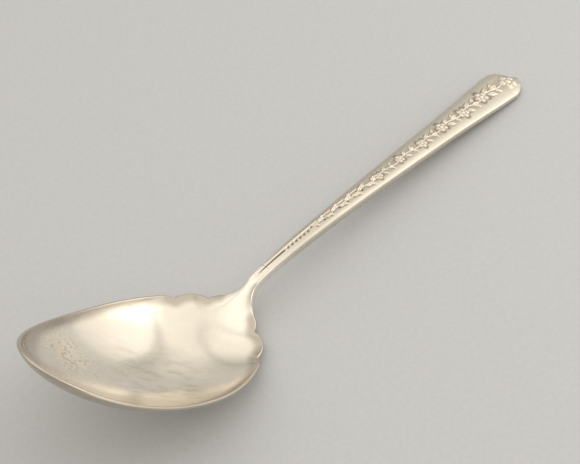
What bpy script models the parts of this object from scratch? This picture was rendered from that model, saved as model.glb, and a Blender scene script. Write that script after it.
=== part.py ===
"""Sugar spoon: a dished bowl with scalloped shoulders, soldered to a slim handle by a scarf joint.

Metres, +Z up. X runs along the spoon from the bowl's tip to the handle's end, Y = 0 is the plane of
symmetry, and Z = 0 is the table that the bowl's worn foot and the handle's end lie on. The form is worked
out from the shoulder, the point where the bowl's axis meets the neck.
"""

from math import atan2, cos, pi, radians, sin

import bmesh
import bpy
import numpy as np

# Bowl, along its own axis, which rises from the shoulder to the tip
BOWL_LENGTH = 0.0621
BOWL_WIDTH = 0.0354
BOWL_TILT = radians(31.6)
BOWL_DEPTH = 0.0116
TIP_REACH = 0.0384
HEEL_REACH = 0.0274
RIM_SAG = 0.0063
RIM_SAG_PLACE = 0.0254
DISH_POWER = 2.2
WALL = 0.0011
FLOOR_REACH = 0.0200

# Scalloped shoulders, where the rim leaves the egg shape and runs in to the neck. The notches and the
# corner are placed by their share of the shoulder's curve
SHOULDER_PLACE = 0.0075
SHOULDER_REACH = 0.0099
NECK_REACH = 0.0072
OUTER_NOTCH_DEPTH = 0.0011
INNER_NOTCH_DEPTH = 0.0004
SCALLOP_RISE = 0.0015
CORNER_RISE = 0.0011
OUTER_NOTCH = 0.10
INNER_NOTCH = 0.44
CORNER = 0.58
SCALLOP_FADE = 6
SCALLOP_LEVEL = 0.6

# Neck and handle
HANDLE_LENGTH = 0.0998
NECK_PLACE = 0.0045
NECK_HEIGHT = 0.0033
NECK_RISE = radians(33.4)
NECK_WIDTH = 0.0030
FLOOR_NECK_REACH = 0.0100
STEM_REACH = 0.0072
BLADE_PLACE = 0.0289
BLADE_LIFT = 0.0028
BLADE_WIDTH = 0.0094
BLADE_SPREAD = 1.20
BLADE_FLARE = 0.0007
FLARE_PLACE = 0.070
CROWN = 0.0005
STEM_THICKNESS = 0.0026
END_THICKNESS = 0.0019

# End of the handle: a full curve with a small nib, and a cleft beside the nib
END_ROUND = 0.0054
END_POWER = 2.2
END_SKEW = 0.0005
NIB_REACH = 0.0006
NIB_SIDE = -0.0010
NIB_WIDTH = 0.0009
CLEFT_DEPTH = 0.0004
CLEFT_SIDE = -0.0022
CLEFT_WIDTH = 0.0005

# Scarf joint and wear
SCARF_PLACE = 0.0090
SCARF_LENGTH = 0.0090
SOLDER_THICKNESS = 0.0003
JOINT_GAP = 0.0003
FOOT_WEAR = 0.00015

# Fineness of the mesh
TIP_ROWS = 12
HEEL_ROWS = 7
SHOULDER_ROWS = (2, 6, 3, 6)
HANDLE_ROWS = 16
END_ROWS = 6
COLUMNS = 22
CURVE_POINTS = np.linspace(0, 1, 200)
SMALL_STEP = 0.0001
SMALL_SHARE = 0.01
SHARP = radians(40)

# Worked out from the sizes above
WIDEST = BOWL_LENGTH - TIP_REACH
HALF_WIDTH = BOWL_WIDTH / 2
BLADE_LENGTH = HANDLE_LENGTH - NECK_PLACE - END_ROUND - NIB_REACH
SHOULDER_STOPS = (0.0, OUTER_NOTCH, INNER_NOTCH, CORNER, 1.0)
ALONG_BOWL = np.array((-cos(BOWL_TILT), 0.0, sin(BOWL_TILT)))
ACROSS_BOWL = np.array((0.0, 1.0, 0.0))
ABOVE_BOWL = np.array((sin(BOWL_TILT), 0.0, cos(BOWL_TILT)))
UP_THE_NECK = np.array((cos(NECK_RISE), 0.0, sin(NECK_RISE)))
SPOON_REACH = BOWL_LENGTH + HANDLE_LENGTH


def bezier(start, leave, arrive, end, share):
    """Point of a cubic curve at each share of its length."""
    t = np.asarray(share)[..., None]
    ends = (1 - t) ** 3 * start + t ** 3 * end
    return ends + 3 * (1 - t) ** 2 * t * leave + 3 * (1 - t) * t ** 2 * arrive


def smooth(share):
    """Ease from 0 to 1."""
    t = np.clip(share, 0.0, 1.0)
    return t * t * (3 - 2 * t)


def in_bowl(along, across, above):
    """Point given along, across and above the bowl's axis, measured from the shoulder."""
    along, across, above = (np.asarray(value)[..., None] for value in (along, across, above))
    return along * ALONG_BOWL + across * ACROSS_BOWL + above * ABOVE_BOWL


def rim_above(along):
    """Height of the rim's edge over the bowl's axis: it sags between the tip and the heel."""
    return -RIM_SAG * (1 - ((along - RIM_SAG_PLACE) / (BOWL_LENGTH - RIM_SAG_PLACE)) ** 2)


def half_disc(forward, side):
    """Square sheet drawn round into half a disc, so that its first row lies on the rim."""
    return forward * np.sqrt(1 - side ** 2 / 2), side * np.sqrt(1 - forward ** 2 / 2)


# Middle line of the bowl's floor and edge of the shoulder, both ending at the neck
NECK_TOP = np.array((NECK_PLACE, 0.0, NECK_HEIGHT))
NECK_EDGE = NECK_TOP + np.array((0.0, NECK_WIDTH / 2, -CROWN))
FLOOR_START = in_bowl(WIDEST, 0.0, -BOWL_DEPTH)
FLOOR = bezier(FLOOR_START, FLOOR_START - FLOOR_REACH * ALONG_BOWL,
               NECK_TOP - FLOOR_NECK_REACH * UP_THE_NECK, NECK_TOP, CURVE_POINTS)
FLOOR_RUN = np.append(0.0, np.cumsum(np.linalg.norm(np.diff(FLOOR, axis=0), axis=1)))
TABLE = FLOOR[:, 2].min() - WALL + FOOT_WEAR


def heel_edge(along):
    """Egg-shaped rim behind the widest place."""
    across = HALF_WIDTH * np.sqrt(1 - ((WIDEST - along) / HEEL_REACH) ** 2)
    return in_bowl(along, across, rim_above(along))


def shoulder_edge(share):
    """Rim from the egg shape to the neck, without its scallops."""
    start = heel_edge(SHOULDER_PLACE)
    heading = start - heel_edge(SHOULDER_PLACE + SMALL_STEP)
    heading = heading / np.linalg.norm(heading)
    return bezier(start, start + SHOULDER_REACH * heading, NECK_EDGE - NECK_REACH * UP_THE_NECK,
                  NECK_EDGE, share)


def scallop(share):
    """Distance that the scallops stand out from the plain shoulder."""
    if share < OUTER_NOTCH:
        return -OUTER_NOTCH_DEPTH * (1 - cos(pi / 2 * share / OUTER_NOTCH))
    if share < INNER_NOTCH:
        part = (share - OUTER_NOTCH) / (INNER_NOTCH - OUTER_NOTCH)
        base = OUTER_NOTCH_DEPTH + (INNER_NOTCH_DEPTH - OUTER_NOTCH_DEPTH) * part
        return SCALLOP_RISE * sin(pi * part) - base
    if share < CORNER:
        part = (share - INNER_NOTCH) / (CORNER - INNER_NOTCH)
        return CORNER_RISE * sin(pi / 2 * part) - INNER_NOTCH_DEPTH
    fade = (1 - share) / (1 - CORNER)
    return (CORNER_RISE - INNER_NOTCH_DEPTH) * fade ** 2


def spine(place):
    """Height of the handle's middle line at a distance behind the shoulder."""
    end = np.array((HANDLE_LENGTH, 0.0, TABLE + END_THICKNESS - FOOT_WEAR))
    lift = end + np.array((-BLADE_PLACE, 0.0, BLADE_LIFT))
    curve = bezier(NECK_TOP, NECK_TOP + STEM_REACH * UP_THE_NECK, lift, end, CURVE_POINTS)
    return np.interp(place, curve[:, 0], curve[:, 2])


def stem_thickness(place):
    """Thickness of the handle along its middle line."""
    share = (place - NECK_PLACE) / (HANDLE_LENGTH - NECK_PLACE)
    return STEM_THICKNESS + (END_THICKNESS - STEM_THICKNESS) * share


def straight_row(middle, edge, columns):
    """Row from edge to edge: level at the middle line and turning up, or down, to the edges."""
    bend = np.abs(columns)[:, None] ** DISH_POWER
    row = middle + (edge - middle) * bend
    row[:, 1] = edge[1] * columns
    return row


def tip_rows(columns):
    """Front half of the bowl, from the rim round the tip to the widest place."""
    rows = []
    for forward in np.linspace(1, 0, TIP_ROWS, endpoint=False):
        ahead, side = half_disc(forward, columns)
        reach = np.hypot(ahead, side)
        along = WIDEST + TIP_REACH * ahead
        rim = rim_above(WIDEST + TIP_REACH * ahead / reach)
        above = (rim + BOWL_DEPTH) * reach ** DISH_POWER - BOWL_DEPTH
        rows.append((in_bowl(along, HALF_WIDTH * side, above), np.full(len(columns), WALL), 0.0))
    return rows


def floor_run_beside(edge):
    """Distance along the floor's middle line to the point square across the bowl from a rim point."""
    return np.interp(-(edge @ ALONG_BOWL), -(FLOOR @ ALONG_BOWL), FLOOR_RUN)


def floor_at(run):
    """Point of the floor's middle line at a distance along it."""
    return np.array([np.interp(run, FLOOR_RUN, FLOOR[:, axis]) for axis in range(3)])


def heel_rows(columns):
    """Back half of the bowl, as far as the scallops."""
    rows = []
    for along in np.linspace(WIDEST, SHOULDER_PLACE, HEEL_ROWS, endpoint=False):
        edge = heel_edge(along)
        row = straight_row(floor_at(floor_run_beside(edge)), edge, columns)
        rows.append((row, np.full(len(columns), WALL), 0.0))
    return rows


def shoulder_floor(share):
    """Point of the floor's middle line that goes with a share of the shoulder's edge."""
    start = floor_run_beside(shoulder_edge(0.0))
    length = FLOOR_RUN[-1] - start
    leave = (shoulder_edge(SMALL_SHARE) - shoulder_edge(0.0)) @ -ALONG_BOWL / SMALL_SHARE
    arrive = (shoulder_edge(1.0) - shoulder_edge(1.0 - SMALL_SHARE)) @ UP_THE_NECK / SMALL_SHARE
    stay = 1 - share
    run = share ** 2 * (3 - 2 * share) * length + share * stay ** 2 * leave - share ** 2 * stay * arrive
    return floor_at(start + run)


def outward(share, slope):
    """Direction out of the shoulder's edge, between level with the bowl and along the wall's slope."""
    heading = shoulder_edge(share + SMALL_SHARE) - shoulder_edge(share)
    out = np.cross(np.cross(heading, slope), heading)
    out = out * np.sign(out[1]) / np.linalg.norm(out)
    return out - SCALLOP_LEVEL * (out @ ABOVE_BOWL) * ABOVE_BOWL


def shoulder_rows(columns):
    """Scalloped shoulders: the sheet narrows and thickens into the neck."""
    rows = []
    for count, first, last in zip(SHOULDER_ROWS, SHOULDER_STOPS, SHOULDER_STOPS[1:]):
        for share in np.linspace(first, last, count, endpoint=False):
            edge = shoulder_edge(share)
            middle = shoulder_floor(share)
            row = straight_row(middle, edge, columns)
            slope = DISH_POWER * (edge - middle)
            slope[1] = edge[1]
            shift = scallop(share) * np.abs(columns)[:, None] ** SCALLOP_FADE * outward(share, slope)
            shift[:, 1] = shift[:, 1] * np.sign(columns)
            ease = smooth(share)
            metal = WALL + (STEM_THICKNESS - WALL) * ease - ease * CROWN * np.abs(columns) ** DISH_POWER
            rows.append((row + shift, metal, ease))
    return rows


def blade_width(place):
    """Width of the stem and the blade, which flares towards its end."""
    share = np.clip((place - NECK_PLACE) / BLADE_LENGTH, 0, 1)
    flare = BLADE_FLARE * smooth((place - FLARE_PLACE) / (NECK_PLACE + BLADE_LENGTH - FLARE_PLACE))
    return NECK_WIDTH + (BLADE_WIDTH - NECK_WIDTH) * share ** BLADE_SPREAD + flare


def handle_rows(columns):
    """Stem and blade, up to the rounded end."""
    rows = []
    for place in np.linspace(NECK_PLACE, NECK_PLACE + BLADE_LENGTH, HANDLE_ROWS, endpoint=False):
        middle = np.array((place, 0.0, spine(place)))
        edge = middle + np.array((0.0, blade_width(place) / 2, -CROWN))
        metal = stem_thickness(place) - CROWN * np.abs(columns) ** DISH_POWER
        rows.append((straight_row(middle, edge, columns), metal, 1.0))
    return rows


def end_rows(columns):
    """End of the handle, a little fuller than round: its last row lies on the outline."""
    rows = []
    half = blade_width(HANDLE_LENGTH) / 2
    for forward in np.linspace(0, 1, END_ROWS):
        ahead, side = half_disc(forward, columns)
        reach = np.maximum(np.hypot(ahead, side), SMALL_SHARE)
        bulk = np.abs(ahead / reach) ** END_POWER + np.abs(side / reach) ** END_POWER
        fuller = np.maximum(bulk, SMALL_SHARE) ** (-1 / END_POWER)
        ahead = ahead * fuller
        across = half * side * fuller
        nib = NIB_REACH * np.exp(-((across - NIB_SIDE) / NIB_WIDTH) ** 2)
        cleft = CLEFT_DEPTH * np.exp(-((across - CLEFT_SIDE) / CLEFT_WIDTH) ** 2)
        skew = END_SKEW * np.sin(pi * np.clip(across / half, -1, 1))
        place = NECK_PLACE + BLADE_LENGTH + END_ROUND * ahead + smooth(ahead) ** 2 * (nib - cleft - skew)
        drop = CROWN * reach ** DISH_POWER
        row = np.stack((place, across, spine(place) - drop), axis=-1)
        rows.append((row, stem_thickness(place) - drop, 1.0))
    return rows


def spoon_form():
    """Whole spoon as one solid: its upper face as a sheet, drawn down through the metal's thickness.

    The way down is along the sheet's normals in the bowl. In the handle it has no sideways slant, so the
    sides stand upright.
    """
    columns = np.linspace(-1, 1, COLUMNS + 1)
    rows = tip_rows(columns) + heel_rows(columns) + shoulder_rows(columns)
    rows += handle_rows(columns) + end_rows(columns)
    points, metal, upright = (np.array(values) for values in zip(*rows))
    form = bmesh.new()
    number = form.verts.layers.int.new("number")
    bmesh.ops.create_grid(form, x_segments=len(points) - 1, y_segments=COLUMNS, size=1)
    for vertex in form.verts:
        row = round((vertex.co.x + 1) / 2 * (len(points) - 1))
        column = round((vertex.co.y + 1) / 2 * COLUMNS)
        vertex.co = points[row, column]
        vertex[number] = row * (COLUMNS + 1) + column
    form.normal_update()
    below = {}
    for vertex in form.verts:
        row, column = divmod(vertex[number], COLUMNS + 1)
        way = np.array(vertex.normal) * np.sign(vertex.normal.z)
        way[1] *= 1 - upright[row]
        below[vertex[number]] = np.array(vertex.co) - metal[row, column] * way / np.linalg.norm(way)
    swept = bmesh.ops.extrude_face_region(form, geom=list(form.faces), use_keep_orig=True)
    for item in swept["geom"]:
        if isinstance(item, bmesh.types.BMVert):
            item.co = below[item[number]]
    bmesh.ops.recalc_face_normals(form, faces=form.faces)
    mesh = bpy.data.meshes.new("spoon_form")
    form.to_mesh(mesh)
    form.free()
    mesh.shade_smooth()
    mesh.set_sharp_from_angle(angle=SHARP)
    return mesh


def metal_material(name, colour, roughness):
    """Plated or soldered metal."""
    material = bpy.data.materials.new(name)
    material.use_nodes = True
    shader = material.node_tree.nodes["Principled BSDF"]
    shader.inputs["Base Color"].default_value = (*colour, 1.0)
    shader.inputs["Metallic"].default_value = 1.0
    shader.inputs["Roughness"].default_value = roughness
    return material


def make_collection(name):
    """Collection linked to the scene."""
    collection = bpy.data.collections.new(name)
    bpy.context.scene.collection.children.link(collection)
    return collection


def spoon_piece(name, form, material, collection, frame):
    """Struck metal: a copy of the whole form, ready to be cut to one piece."""
    piece = bpy.data.objects.new(name, form.copy())
    collection.objects.link(piece)
    piece.parent = frame
    piece.data.materials.append(material)
    return piece


def cut(piece, cutter, operation="DIFFERENCE"):
    """Boolean of a piece with a cutter."""
    boolean = piece.modifiers.new(cutter.name, "BOOLEAN")
    boolean.object = cutter
    boolean.operation = operation
    boolean.solver = "EXACT"


def prism(name, outline, collection, frame):
    """Cutter with an outline in the plane of symmetry, wider than the spoon."""
    shape = bmesh.new()
    corners = [shape.verts.new((x, -BOWL_WIDTH, z)) for x, z in outline]
    face = shape.faces.new(corners)
    swept = bmesh.ops.extrude_face_region(shape, geom=[face])
    moved = [item for item in swept["geom"] if isinstance(item, bmesh.types.BMVert)]
    bmesh.ops.translate(shape, verts=moved, vec=(0.0, 2 * BOWL_WIDTH, 0.0))
    bmesh.ops.recalc_face_normals(shape, faces=shape.faces)
    mesh = bpy.data.meshes.new(name)
    shape.to_mesh(mesh)
    shape.free()
    cutter = bpy.data.objects.new(name, mesh)
    cutter.hide_render = True
    cutter.display_type = "WIRE"
    cutter.parent = frame
    collection.objects.link(cutter)
    return cutter


def seam_frame():
    """Ends of the scarf's middle line, past the metal on both sides, and its upward normal."""
    centre = NECK_PLACE + SCARF_PLACE
    rise = spine(centre + SMALL_STEP) - spine(centre - SMALL_STEP)
    slope = atan2(rise, 2 * SMALL_STEP) - atan2(STEM_THICKNESS, SCARF_LENGTH)
    heading = np.array((cos(slope), sin(slope)))
    normal = np.array((-sin(slope), cos(slope)))
    middle = np.array((centre, spine(centre) - stem_thickness(centre) / 2))
    return middle - SCARF_LENGTH * heading, middle + SCARF_LENGTH * heading, normal


def seam_side(offset, far):
    """Outline of all that lies on one side of the scarf, out to a far place along the spoon."""
    front, back, normal = seam_frame()
    front = front + offset * normal
    back = back + offset * normal
    top = SPOON_REACH
    return [(front[0], top), tuple(front), tuple(back), (back[0], -top), (far, -top), (far, top)]


def seam_film():
    """Outline of the solder between the two faces of the scarf."""
    front, back, normal = seam_frame()
    half = SOLDER_THICKNESS / 2 * normal
    return [tuple(front + half), tuple(back + half), tuple(back - half), tuple(front - half)]


def below_table():
    """Outline of the space under the table's surface."""
    low = TABLE - SPOON_REACH
    return [(-SPOON_REACH, low), (SPOON_REACH, low), (SPOON_REACH, TABLE), (-SPOON_REACH, TABLE)]


def build_spoon():
    """Bowl, handle and solder, cut from one form along the scarf."""
    for old in list(bpy.data.objects):
        bpy.data.objects.remove(old)
    parts = make_collection("sugar_spoon")
    cutters = make_collection("cutters")
    frame = bpy.data.objects.new("spoon_frame", None)
    parts.objects.link(frame)
    form = spoon_form()

    bowl = spoon_piece("bowl", form, metal_material("bowl_plate", (0.80, 0.74, 0.64), 0.16), parts, frame)
    handle = spoon_piece("handle", form, metal_material("handle_plate", (0.76, 0.70, 0.60), 0.24), parts,
                         frame)
    solder = spoon_piece("solder_seam", form, metal_material("silver_solder", (0.70, 0.67, 0.60), 0.35),
                         parts, frame)

    clearance = SOLDER_THICKNESS / 2 + JOINT_GAP
    cut(bowl, prism("behind_scarf", seam_side(-clearance, SPOON_REACH), cutters, frame))
    cut(handle, prism("ahead_of_scarf", seam_side(clearance, -SPOON_REACH), cutters, frame))
    cut(solder, prism("solder_gap", seam_film(), cutters, frame), "INTERSECT")
    table = prism("table", below_table(), cutters, frame)
    cut(bowl, table)
    cut(handle, table)

    bpy.context.view_layer.update()
    seen = bpy.context.evaluated_depsgraph_get()
    tip = min(vertex.co.x for vertex in bowl.evaluated_get(seen).data.vertices)
    end = max(vertex.co.x for vertex in handle.evaluated_get(seen).data.vertices)
    frame.location = (-(tip + end) / 2, 0.0, -TABLE)


build_spoon()
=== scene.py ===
"""Looks of the sugar spoon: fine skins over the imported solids, worn silver plate, light and camera."""

from math import cos, pi, radians, sin

import bpy
import numpy as np
from mathutils import Matrix, Vector
from mathutils.kdtree import KDTree


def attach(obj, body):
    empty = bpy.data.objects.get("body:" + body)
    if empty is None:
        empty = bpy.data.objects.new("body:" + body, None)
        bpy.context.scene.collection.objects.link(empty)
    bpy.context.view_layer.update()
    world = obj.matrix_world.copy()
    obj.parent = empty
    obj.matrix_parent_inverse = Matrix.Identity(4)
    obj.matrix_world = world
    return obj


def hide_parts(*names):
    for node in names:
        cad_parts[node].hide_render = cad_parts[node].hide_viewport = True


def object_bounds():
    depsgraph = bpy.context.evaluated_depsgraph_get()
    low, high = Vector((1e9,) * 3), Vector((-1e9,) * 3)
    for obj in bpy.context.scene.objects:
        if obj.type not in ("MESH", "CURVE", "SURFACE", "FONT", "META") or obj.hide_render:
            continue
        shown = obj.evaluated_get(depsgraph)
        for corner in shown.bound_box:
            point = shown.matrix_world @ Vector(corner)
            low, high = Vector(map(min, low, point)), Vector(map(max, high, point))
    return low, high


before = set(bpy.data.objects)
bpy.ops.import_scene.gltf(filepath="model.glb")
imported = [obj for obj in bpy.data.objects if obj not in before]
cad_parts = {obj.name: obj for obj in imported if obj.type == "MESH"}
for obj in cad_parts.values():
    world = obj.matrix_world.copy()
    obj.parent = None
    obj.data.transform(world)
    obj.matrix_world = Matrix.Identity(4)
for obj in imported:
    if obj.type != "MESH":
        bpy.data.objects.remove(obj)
cad_low, cad_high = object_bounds()

# Bowl, along its own axis, which rises from the shoulder to the tip
BOWL_LENGTH = 0.0621
BOWL_WIDTH = 0.0354
BOWL_TILT = radians(31.6)
BOWL_DEPTH = 0.0116
TIP_REACH = 0.0384
HEEL_REACH = 0.0274
RIM_SAG = 0.0063
RIM_SAG_PLACE = 0.0254
DISH_POWER = 2.2
LIP_SHARE = 0.16
LIP_POWER = 22
WALL = 0.0011
RIM_WALL = 0.0008
RIM_WALL_POWER = 4
FLOOR_REACH = 0.0200

# Scalloped shoulders
SHOULDER_PLACE = 0.0075
SHOULDER_REACH = 0.0099
NECK_REACH = 0.0072
OUTER_NOTCH_DEPTH = 0.0011
INNER_NOTCH_DEPTH = 0.0004
SCALLOP_RISE = 0.0015
CORNER_RISE = 0.0011
OUTER_NOTCH = 0.10
INNER_NOTCH = 0.44
CORNER = 0.58
SCALLOP_FADE = 6
SCALLOP_LEVEL = 0.6
CREASE_DEPTH = 0.00014
CREASE_SHARE = 0.022
CREASE_FADE = 9

# Neck and handle
HANDLE_LENGTH = 0.0998
NECK_PLACE = 0.0045
NECK_HEIGHT = 0.0033
NECK_RISE = radians(33.4)
NECK_WIDTH = 0.0030
FLOOR_NECK_REACH = 0.0100
STEM_REACH = 0.0072
BLADE_PLACE = 0.0289
BLADE_LIFT = 0.0028
BLADE_WIDTH = 0.0094
BLADE_SPREAD = 1.20
BLADE_FLARE = 0.0007
FLARE_PLACE = 0.070
END_ROUND = 0.0054
END_POWER = 2.2
END_SKEW = 0.0005
NIB_REACH = 0.0006
NIB_SIDE = -0.0010
NIB_WIDTH = 0.0009
CLEFT_DEPTH = 0.0004
CLEFT_SIDE = -0.0022
CLEFT_WIDTH = 0.0005
CROWN = 0.0005
END_CROWN = 0.0009
CROWN_POWER = 2.4
STEM_THICKNESS = 0.0026
END_THICKNESS = 0.0019
FOOT_WEAR = 0.00015

# Scarf joint
SCARF_PLACE = 0.0090
SCARF_LENGTH = 0.0090
FILM_SHARE = 0.015

# Groove, ridge and punched dots behind the neck; the pairs are for where each starts and where it ends
GROOVE = (0.0061, 0.0156)
GROOVE_DEPTH = 0.00022
GROOVE_WIDTH = 0.00031
GROOVE_FADES = (6, 12)
RIDGE = (0.0085, 0.0430)
RIDGE_SIDE = (0.00042, 0.00095)
RIDGE_HEIGHT = 0.00012
RIDGE_WIDTH = 0.00015
RIDGE_FADE = 0.004
PITS = (0.0163, 0.0240)
PIT_PITCH = 0.00130
PIT_DEPTH = 0.00022
PIT_LENGTH = 0.00042
PIT_WIDTH = 0.00026
PIT_POWER = 4
PIT_TURN = radians(18)
PIT_SPREAD = 0.35
PIT_SHRINK = 0.75

# Sprig and vine along the handle; sizes of leaves and flowers are shares of the vine's half width
SPRIG = (0.0250, 0.0455)
SPRIG_PITCH = 0.0023
SPRIG_LEAF = 1.9
SPRIG_TURN = radians(38)
SPRIG_BACK_TURN = -0.55
VINE = (0.0470, 0.0935)
VINE_PITCH = 0.0079
VINE_HALF = (0.00075, 0.0021)
VINE_PLACES = (0.0250, 0.0960)
VINE_LINE = 0.00020
VINE_LINE_HEIGHT = 0.6
VINE_SWAY = 0.22
RELIEF_HEIGHT = 0.00028
GROUND_DEPTH = 0.00004
FIELD_EASE = 1.3
FIELD_EDGE = 0.8
FIELD_FADE = 0.003

# Leaves: place in the pitch, side, turn and size; a vein's depth and width, as shares of the leaf's
VINE_LEAVES = ((0.20, 0.20, 0.75, 1.25), (0.24, -0.15, -0.60, 1.35), (0.46, 0.10, 0.15, 1.45),
               (0.55, 0.35, 0.95, 0.95), (0.58, -0.30, -0.90, 1.00))
LEAF_WIDTH = 0.29
LEAF_POINT = 0.8
LEAF_VEIN = (0.45, 0.16)

# Flowers: petals in shares of the radius; the ring round the eye has a depth, a radius and a width
FLOWER_SIZE = 0.98
FLOWER_SIDE = 0.12
FLOWER_TURN = 0.4
PETALS = 5
PETAL_NOTCH = 0.45
PETAL_ROUND = 0.6
PETAL_CLEFT = 0.35
PETAL_SLOPE = 2.2
EYE = 0.24
EYE_RING = (0.75, 0.34, 0.10)
END_FLOWER = (0.0962, -0.0006)
END_FLOWER_RADIUS = 0.0026
END_FLOWER_TURN = 0.3

# How dark the recesses of the ornament are (tarnish in the hollows and painted shade), and how bright its
# crowns (rubbed plate and a painted highlight)
OUTLINE_GROWTH = 1.5
OUTLINE_SPREAD = 1.6
PIT_CLEARING = 1.5
LOW_CLEARING = 2.2
GROOVE_SPREAD = 1.8
GROOVE_DARK = 0.85
PIT_DARK = 0.76
OUTLINE_DARK = 0.62
GROUND_DARK = 0.28
CROWN_SPREAD = 1.3
CROWN_START = 0.3
RIDGE_HIGHLIGHT = 0.8

# Edges and fineness of the skins
EDGE = 0.00032
STEM_EDGE = 0.00045
STEM_EDGE_END = 0.082
SHARP = radians(75)
ARC_STEPS = 6
TIP_ROWS = 90
HEEL_ROWS = 60
SHOULDER_ROWS = (10, 34, 14, 42)
STEM_ROWS = 60
HANDLE_ROWS = 620
END_ROWS = 40
BOWL_COLUMN_COUNT = 89
HANDLE_COLUMN_COUNT = 65
RIM_CROWDING = 0.25
MIDDLE_CROWDING = -0.4
CURVE_POINTS = np.linspace(0, 1, 400)
SMALL_STEP = 0.0001
TINY = 0.00001
SMALL_SHARE = 0.01

# Metal: a pair of tones is the bright and the cloudy metal, and a pair of polishes the clear and the hazy
# one; the handle's tones are darker than the bowl's, partly for its duller plate and partly as painted shade
BOWL_TONES = ((0.94, 0.875, 0.775), (0.85, 0.78, 0.68))
HANDLE_SHADED_TONES = ((0.70, 0.645, 0.56), (0.625, 0.575, 0.495))
BOWL_POLISH = (0.10, 0.17)
HANDLE_POLISH = (0.18, 0.27)
# Where along the neck the bowl's metal turns into the handle's duller, darker metal, whose darkness is partly
# painted shade
DULLING_AND_SHADE = (0.005, 0.020)
CLOUD_SCALE = 70.0
CLOUD_DETAIL = 4.0
CLOUD_RANGE = (0.35, 0.68)
CLOUD_ROUGH_RANGE = (0.4, 0.7)
CLOUD_ROUGH = 0.06
HAZE_SCALE = 1500.0
HAZE_DETAIL = 3.0
HAZE_RANGE = (0.30, 0.70)
# Dark of the freckles (tarnished pits) and of the ornament's recesses (tarnish and painted shade)
TARNISH_AND_SHADE = (0.13, 0.096, 0.062)
TARNISH_ROUGH = 0.25
# Lighter colour of the ornament's crowns and ridge: rubbed plate and a painted highlight
RUBBED_AND_HIGHLIGHT = (0.95, 0.835, 0.675)
RUBBED_AND_HIGHLIGHT_TINT = 0.75
BRIGHT_POLISH = 0.12
BUMP_STRENGTH = 0.03
BUMP_DISTANCE = 0.00002

# Scratches: turn, features a metre across them and along them, and the noise above which they show
SCRATCHES = ((0.35, 5200.0, 90.0, 0.66), (-0.5, 4300.0, 70.0, 0.68), (1.15, 4300.0, 70.0, 0.68),
             (2.2, 4300.0, 70.0, 0.68))
SCRATCH = (0.70, 0.64, 0.55)
SCRATCH_EASE = 0.05
SCRATCH_TINT = 0.12
SCRATCH_ROUGH = 0.10
SCRATCH_DEPTH = 0.5

# Dull band inside the rim, its darker colour painted shade for the darker reflection there, and where along
# the bowl it starts to widen, is at its widest, and how much wider
RIM_BAND = 0.0028
RIM_EASE = 0.0020
TIP_SHADE_WIDENING = (-0.064, -0.074, 3.2)
RIM_SHADE_COLOUR = (0.47, 0.415, 0.345)
RIM_SHADE_TINT = 0.80
RIM_ROUGH = 0.04

# Worn, freckled patch and streaky stain of the bowl; a reach is where each ends and where it is full
UPWARD = (0.0, 0.1)
WORN = (0.86, 0.75, 0.60)
WORN_PLACE = (-0.0625, 0.008, 0.0187)
WORN_REACH = (0.0130, 0.0055)
WORN_EDGE = 0.008
WORN_EDGE_SCALE = 300.0
WORN_EDGE_DETAIL = 3.0
WORN_TINT = 0.45
WORN_ROUGH = 0.20
FRECKLE_SCALE = 1000.0
FRECKLE_SIZE = (0.44, 0.24)
FRECKLE_GROUP_SCALE = 420.0
FRECKLE_GROUPS = (0.36, 0.50)
FRECKLE_TINT = 0.4
STAIN = (0.60, 0.53, 0.445)
STAIN_PLACE = (-0.0500, -0.0040, 0.0080)
STAIN_REACH = (0.0150, 0.0060)
STAIN_TURN = radians(-42)
STAIN_ACROSS = 600.0
STAIN_ALONG = 250.0
STAIN_DETAIL = 4.0
STAIN_RANGE = (0.46, 0.66)
STAIN_TINT = 0.55
STAIN_ROUGH = 0.06

# Paper of the floor
FLOOR_HALF = 3.0
FLOOR_DROP = 0.00005
PAPER = (0.61, 0.615, 0.63)
PAPER_SHADE = (0.58, 0.585, 0.60)
GRAIN_SCALE = 900.0
GRAIN_DETAIL = 4.0
GRAIN_RANGE = (0.3, 0.7)
GRAIN_STRENGTH = 0.15
GRAIN_DISTANCE = 0.0001
PAPER_ROUGH = 0.8

# Surround: places are azimuth and elevation, angles are in degrees, and a pair of lights is low and high up
LIGHT_COLOUR = (1.0, 0.965, 0.89)
SKY = (0.66, 1.07)
SKY_TOP = 0.55
WINDOW = (-20, -2)
WINDOW_RADIUS = 45.0
WINDOW_LIGHT = (0.95, 1.18)
WINDOW_TOP = 0.30
BAR = (80, 38)
BAR_RADIUS = 28.7
BAR_WIDTH = 4.0
BAR_SHADE = 0.32
FRONT = (45, 35)
FRONT_ANGLES = (98, 72)
BACK_LIGHT = 0.45

# Soft round shades: azimuth, elevation, outer and inner radius, and share of light lost, or gained below 0
SHADES = ((54, 21, 24, 8, 0.30), (-44, 22, 22, 10, 0.45), (145, 46, 45, 25, -0.17))

# Soft-edged panels: azimuth, elevation and distance from the place aimed at, width, height, and radiance
PANELS = {
    "near_panel": (-33, 37, 0.28, 0.330, 0.290, 1.00),
    "right_panel": (-80, 14, 0.90, 1.000, 0.550, 1.2),
}
PANEL_AIM = (0.045, 0.0, 0.008)
PANEL_SOFTNESS = 0.35

# Camera, fitted to the photograph
LENS = 99.1
SENSOR = 36.0
CAMERA_PLACE = (222.05, 48.588)
CAMERA_DISTANCE = 0.36116
CAMERA_ROLL = radians(-0.465)
CAMERA_AIM = (0.00244, 0.00775, 0.0)

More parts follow.
